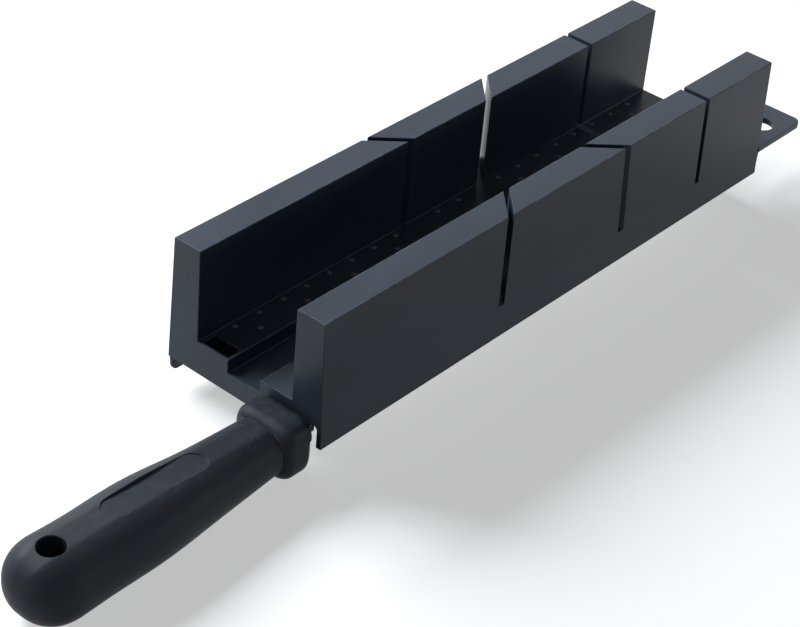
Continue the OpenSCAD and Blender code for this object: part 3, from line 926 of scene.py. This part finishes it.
def tooth_form(look):
    """One tooth with ground flanks; its root lies in the plate and its point towards -x."""
    half = (blade_high.z - blade_low.z) / 2
    root, pitch, height = TOOTH_ROOT, look.pitch, look.tooth
    point = POINT_SHARE * pitch
    grind = GRIND_SHARE * pitch
    foot = grind * GRIND_AT_FOOT
    lower = [(root, 0.0), (root, pitch), (0.0, pitch), (-height, point), (0.0, 0.0)]
    upper = [(root, 0.0), (root, pitch), (0.0, pitch - foot),
             (-height * GROUND_HEIGHT, point - grind * GRIND_AT_POINT), (0.0, foot)]
    rings = [[(x, y, -half) for x, y in lower], [(x, y, half) for x, y in upper]]
    return loft("tooth", rings)


def plate_form(root_x):
    """The blade's plate down to the roots of the teeth, with its tang and its cropped tip."""
    tang_x = blade_high.x - TANG_W
    return prism("plate", [
        (tang_x, blade_low.y), (blade_high.x, blade_low.y), (blade_high.x, blade_high.y),
        (root_x + TIP_CROP, blade_high.y), (root_x, blade_high.y - TIP_CROP), (root_x, HEEL_Y),
        (tang_x, HEEL_Y)], blade_low.z, blade_high.z)


def toothed_blade(look, material):
    """The blade's plate with a row of teeth, bent by turns to one side and the other."""
    recipe = Recipe("Toothed blade", {
        "Plate": OBJECT, "Tooth": OBJECT, "Count": COUNT, "Pitch": FLOAT, "Root X": FLOAT,
        "First Y": FLOAT, "Blade Z": FLOAT, "Set": FLOAT, "Material": MATERIAL})
    start = recipe.vector(recipe.value("Root X"), recipe.value("First Y"), recipe.value("Blade Z"))
    line = recipe.node("GeometryNodeMeshLine", inputs={
        "Count": recipe.value("Count"), "Start Location": start,
        "Offset": recipe.vector(y=recipe.value("Pitch"))})
    odd = recipe.maths("MODULO", recipe.node("GeometryNodeInputIndex"), 2.0)
    sign = recipe.maths("SUBTRACT", recipe.maths("MULTIPLY", odd, 2.0), 1.0)
    lean = recipe.maths("MULTIPLY", sign, recipe.value("Set"))
    teeth = recipe.node("GeometryNodeInstanceOnPoints", inputs={
        "Points": line, "Instance": recipe.form("Tooth"), "Rotation": recipe.vector(y=lean),
        "Scale": recipe.vector(1.0, 1.0, sign)})
    recipe.finish(recipe.node("GeometryNodeJoinGeometry", inputs={0: [recipe.form("Plate"), teeth]}))

    root_x = blade_low.x + look.tooth
    first_y = HEEL_Y + TEETH_FROM_HEEL
    plate, tooth = plate_form(root_x), tooth_form(look)
    made = recipe.made("toothed_blade", {
        "Plate": plate, "Tooth": tooth, "Pitch": look.pitch, "Root X": root_x, "First Y": first_y,
        "Count": int((blade_high.y - TEETH_FROM_TIP - first_y) / look.pitch),
        "Blade Z": (blade_low.z + blade_high.z) / 2, "Set": look.tooth_set, "Material": material})
    drop(plate)
    drop(tooth)
    # Every second tooth is a mirrored one, which comes inside out
    face_outwards(made.data)
    shade(made.data, False)
    return made


# The stage
CAMERA_FOCAL_PX = 2257.02
CAMERA_FRAME_PX = 800
CAMERA_SENSOR_MM = 36
CAMERA_AZIMUTH = math.radians(38.054)
CAMERA_ELEVATION = math.radians(35.375)
CAMERA_ROLL = math.radians(5.400)
CAMERA_DISTANCE = 892.637 * MM
CAMERA_AIM = Vector((28.952, -92.214, 30.0)) * MM
CAMERA_CLIP = (0.01, 20)
LAMP_COLOUR = (0.93, 0.97, 1.0)
# Name of each lamp, property with its power, place, aim, and width and height, in metres
LAMPS = (
    ("Key lamp", "key", (-1.05, -0.15, 0.85), (0, 0, 0), (1.1, 0.6)),
    ("Front lamp", "front", (-0.10, -1.40, 0.08), (0, -0.1, 0.03), (0.7, 0.3)),
    ("Side lamp", "side", (1.10, 0.80, 0.10), (0, 0.05, 0.03), (0.9, 0.2)),
)
FLOOR_HALF = 3.0
FLOOR_GAP = 0.4 * MM
FLOOR_THICKNESS = 1 * MM


def camera():
    """The camera of the front picture: an orbit round its aim, with a roll."""
    azimuth, elevation, roll = CAMERA_AZIMUTH, CAMERA_ELEVATION, CAMERA_ROLL
    back = Vector((
        math.sin(azimuth) * math.cos(elevation), -math.cos(azimuth) * math.cos(elevation),
        math.sin(elevation)))
    level = Vector((0, 0, 1)).cross(back).normalized()
    up = back.cross(level)
    right = level * math.cos(roll) + up * math.sin(roll)
    top = up * math.cos(roll) - level * math.sin(roll)
    data = bpy.data.cameras.new("Camera")
    data.sensor_width = CAMERA_SENSOR_MM
    data.lens = CAMERA_FOCAL_PX * data.sensor_width / CAMERA_FRAME_PX
    data.clip_start, data.clip_end = CAMERA_CLIP
    made = link("Camera", data)
    turn = Matrix((right, top, back)).transposed().to_4x4()
    made.matrix_world = Matrix.Translation(CAMERA_AIM + back * CAMERA_DISTANCE) @ turn
    bpy.context.scene.camera = made


def lamp(name, place, aim, size, watts):
    """A rectangular lamp at its place, turned to its aim."""
    data = bpy.data.lights.new(name, "AREA")
    data.shape = "RECTANGLE"
    data.size, data.size_y = size
    data.energy = watts
    data.color = LAMP_COLOUR
    place, aim = Vector(place), Vector(aim)
    turn = (aim - place).to_track_quat("-Z", "Y").to_matrix().to_4x4()
    link(name, data).matrix_world = Matrix.Translation(place) @ turn


def seen(tree):
    """1 for camera, glossy and transmission rays, 0 for the rays that light the object."""
    path = tree.nodes.new("ShaderNodeLightPath")
    total = path.outputs["Is Camera Ray"]
    for name in ("Is Glossy Ray", "Is Transmission Ray"):
        add = tree.nodes.new("ShaderNodeMath")
        add.operation = "ADD"
        add.use_clamp = True
        tree.links.new(total, add.inputs[0])
        tree.links.new(path.outputs[name], add.inputs[1])
        total = add.outputs[0]
    return total


def split_rays(tree, lighting, shown, output):
    """Lights the object with one shader, and shows the other one to the camera and in mirrors."""
    mix = tree.nodes.new("ShaderNodeMixShader")
    tree.links.new(seen(tree), mix.inputs[0])
    tree.links.new(lighting.outputs[0], mix.inputs[1])
    tree.links.new(shown.outputs[0], mix.inputs[2])
    tree.links.new(mix.outputs[0], tree.nodes[output].inputs["Surface"])


def white_world(look):
    """White surroundings that give only the ambient light."""
    world = bpy.data.worlds.new("Studio")
    bpy.context.scene.world = world
    world.use_nodes = True
    tree = world.node_tree
    ambient = tree.nodes["Background"]
    ambient.inputs["Color"].default_value = rgba(WHITE)
    ambient.inputs["Strength"].default_value = look.ambient
    white = tree.nodes.new("ShaderNodeBackground")
    white.inputs["Color"].default_value = rgba(WHITE)
    split_rays(tree, ambient, white, "World Output")


def floor_material(look):
    """Pale and glowing where it is seen, and dim where it lights the object."""
    material = bpy.data.materials.new("floor")
    material.use_nodes = True
    tree = material.node_tree
    shader = tree.nodes["Principled BSDF"]
    shader.inputs["Base Color"].default_value = rgba(look.floor)
    shader.inputs["Roughness"].default_value = 1.0
    shader.inputs["Specular IOR Level"].default_value = 0.0
    glow = tree.nodes.new("ShaderNodeEmission")
    glow.inputs["Strength"].default_value = look.floor_glow
    pale = tree.nodes.new("ShaderNodeAddShader")
    tree.links.new(shader.outputs[0], pale.inputs[0])
    tree.links.new(glow.outputs[0], pale.inputs[1])
    dim = tree.nodes.new("ShaderNodeBsdfDiffuse")
    dim.inputs["Color"].default_value = rgba(WHITE, look.floor_bounce)
    split_rays(tree, dim, pale, "Material Output")
    return material


def floor(look):
    """A wide pale sheet just under the object, which keeps its shadow."""
    top = cad_low.z - FLOOR_GAP
    made = block("floor", (-FLOOR_HALF, -FLOOR_HALF, top - FLOOR_THICKNESS), (FLOOR_HALF, FLOOR_HALF, top))
    dress(made, floor_material(look))


# Operators: the stage's own, and one for each piece or group of pieces
class MITREBOX_OT_stage(bpy.types.Operator):
    """Sets up the floor, the surroundings, the lamps and the camera"""
    bl_idname = "mitrebox.stage"
    bl_label = "Stage"

    def execute(self, context):
        look = context.scene.mitrebox_stage
        view = context.scene.view_settings
        view.view_transform = "Standard"
        camera()
        white_world(look)
        floor(look)
        for name, watts, place, aim, size in LAMPS:
            lamp(name, place, aim, size, getattr(look, watts))
        return {"FINISHED"}


class MITREBOX_OT_box(bpy.types.Operator):
    """Makes the box's moulding with broken edges and its plastic, worn and lightened by painted highlights
    along its edges
    """
    bl_idname = "mitrebox.box"
    bl_label = "Box"

    def execute(self, context):
        look = context.scene.mitrebox_box
        material = box_plastic(look)
        seat(dress(box_moulding(look), material), "box", "box_plastic", "mitre_box")
        return {"FINISHED"}


class MITREBOX_OT_pips(bpy.types.Operator):
    """Sets the rows of pips on the ledges"""
    bl_idname = "mitrebox.pips"
    bl_label = "Pips"

    def execute(self, context):
        material = bpy.data.materials["box_plastic"]
        seat(pip_rows(context.scene.mitrebox_pips, material), "box", "box_plastic")
        return {"FINISHED"}


class MITREBOX_OT_handle(bpy.types.Operator):
    """Makes the saw's handle with its collar, neck, panel and hanging hole"""
    bl_idname = "mitrebox.handle"
    bl_label = "Handle"

    def execute(self, context):
        look = context.scene.mitrebox_handle
        seat(dress(handle_moulding(look), handle_plastic(look)), "saw", "handle_plastic", "saw_handle")
        return {"FINISHED"}


class MITREBOX_OT_blade(bpy.types.Operator):
    """Makes the toothed blade and finishes the folded spine"""
    bl_idname = "mitrebox.blade"
    bl_label = "Blade and spine"

    def execute(self, context):
        look = context.scene.mitrebox_blade
        steel = ground_steel("blade_steel", look, BLADE_GRAIN, look.blade_roughness)
        seat(toothed_blade(look, steel), "saw", "blade_steel", "saw_blade")
        steel = ground_steel("spine_steel", look, SPINE_GRAIN, look.spine_roughness)
        dress(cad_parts["saw_spine"], steel)
        return {"FINISHED"}


class MITREBOX_PT_panel(bpy.types.Panel):
    """Lists the pieces"""
    bl_idname = "MITREBOX_PT_panel"
    bl_label = "Mitre box"
    bl_space_type = "VIEW_3D"
    bl_region_type = "UI"
    bl_category = "Mitre box"

    def draw(self, context):
        for operator in OPERATORS:
            self.layout.operator(operator.bl_idname)


LOOKS = {
    "mitrebox_box": BoxLook,
    "mitrebox_pips": PipLook,
    "mitrebox_handle": HandleLook,
    "mitrebox_blade": BladeLook,
    "mitrebox_stage": StageLook,
}
OPERATORS = (MITREBOX_OT_stage, MITREBOX_OT_box, MITREBOX_OT_pips, MITREBOX_OT_handle, MITREBOX_OT_blade)


def register():
    for look in LOOKS.values():
        bpy.utils.register_class(look)
    for name, look in LOOKS.items():
        setattr(bpy.types.Scene, name, bpy.props.PointerProperty(type=look))
    for made in (*OPERATORS, MITREBOX_PT_panel):
        bpy.utils.register_class(made)


def unregister():
    for made in (MITREBOX_PT_panel, *reversed(OPERATORS)):
        bpy.utils.unregister_class(made)
    for name in LOOKS:
        delattr(bpy.types.Scene, name)
    for look in reversed(list(LOOKS.values())):
        bpy.utils.unregister_class(look)


def main():
    register()
    bpy.ops.mitrebox.stage()
    bpy.ops.mitrebox.box()
    bpy.ops.mitrebox.pips()
    bpy.ops.mitrebox.handle()
    bpy.ops.mitrebox.blade()


if __name__ == "__main__":
    main()
